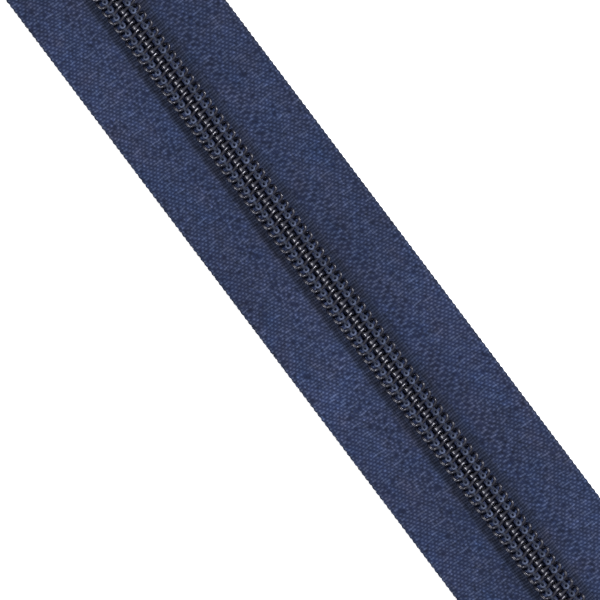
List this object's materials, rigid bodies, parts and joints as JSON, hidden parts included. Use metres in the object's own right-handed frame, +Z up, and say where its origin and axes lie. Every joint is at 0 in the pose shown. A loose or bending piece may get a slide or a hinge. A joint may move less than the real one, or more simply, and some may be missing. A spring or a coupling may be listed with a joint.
{
  "type": "zipper",
  "caption": "Closed-end coil zipper: two woven tapes, interlocking sewn coils, an auto-lock slider with a pull tab, and metal end stops.",
  "frame": {"origin": "under the middle of the whole zipper, on the surface it lies on", "axes": "+X along the chain towards the top end and the slider, +Y to the left tape, +Z up, on the coil side"},
  "size_m": [0.21, 0.0324, 0.0085],
  "materials": {
    "tape": "woven polyester, navy",
    "coil": "black nylon monofilament, satin gloss",
    "filler_cord": "braided polyester cord, navy",
    "needle_thread": "polyester sewing thread, mid blue",
    "looper_thread": "polyester sewing thread, mid blue",
    "stop": "blackened metal clip",
    "slider_body": "black enamelled zinc die casting",
    "slider_cap": "black enamelled pressed metal",
    "lock_pawl": "bright spring strip",
    "pull_tab": "black enamelled zinc die casting"
  },
  "bodies": {
    "chain_foot": {"bottom_stop": "stop"},
    "left_half": {"tape_left": "tape", "coil_left": "coil", "filler_cord_left": "filler_cord", "needle_thread_left": "needle_thread", "looper_thread_left": "looper_thread", "top_stop_left": "stop"},
    "right_half": {"tape_right": "tape", "coil_right": "coil", "filler_cord_right": "filler_cord", "needle_thread_right": "needle_thread", "looper_thread_right": "looper_thread", "top_stop_right": "stop"},
    "slider": {"slider_body": "slider_body", "slider_cap": "slider_cap"},
    "lock": {"lock_pawl": "lock_pawl"},
    "pull": {"pull_tab": "pull_tab"}
  },
  "joints": [
    {"name": "slider_travel", "type": "slide", "parent": "chain_foot", "child": "slider", "axis": [-1, 0, 0], "range_m": [0, 0.164], "deforming": ["tape_left", "coil_left", "filler_cord_left", "needle_thread_left", "looper_thread_left", "tape_right", "coil_right", "filler_cord_right", "needle_thread_right", "looper_thread_right"]},
    {"name": "left_half_opening", "type": "hinge", "parent": "chain_foot", "child": "left_half", "pos_m": [-0.0863, 0, 0.0013], "axis": [0, 0, 1], "range_deg": [0, 12]},
    {"name": "right_half_opening", "type": "hinge", "parent": "chain_foot", "child": "right_half", "pos_m": [-0.0863, 0, 0.0013], "axis": [0, 0, -1], "range_deg": [0, 12]},
    {"name": "pull_tab_swing", "type": "hinge", "parent": "slider", "child": "pull", "pos_m": [0.082, 0, 0.00634], "axis": [0, 1, 0], "range_deg": [0, 170]},
    {"name": "lock_pawl_lift", "type": "hinge", "parent": "slider", "child": "lock", "pos_m": [0.0857, 0, 0.00695], "axis": [0, 1, 0], "range_deg": [0, 3], "stiffness_Nm_per_rad": 0.1}
  ],
  "couplings": [
    {"joint": "left_half_opening", "follows": "slider_travel", "rad_per_m": 1.2771},
    {"joint": "right_half_opening", "follows": "slider_travel", "rad_per_m": 1.2771}
  ]
}
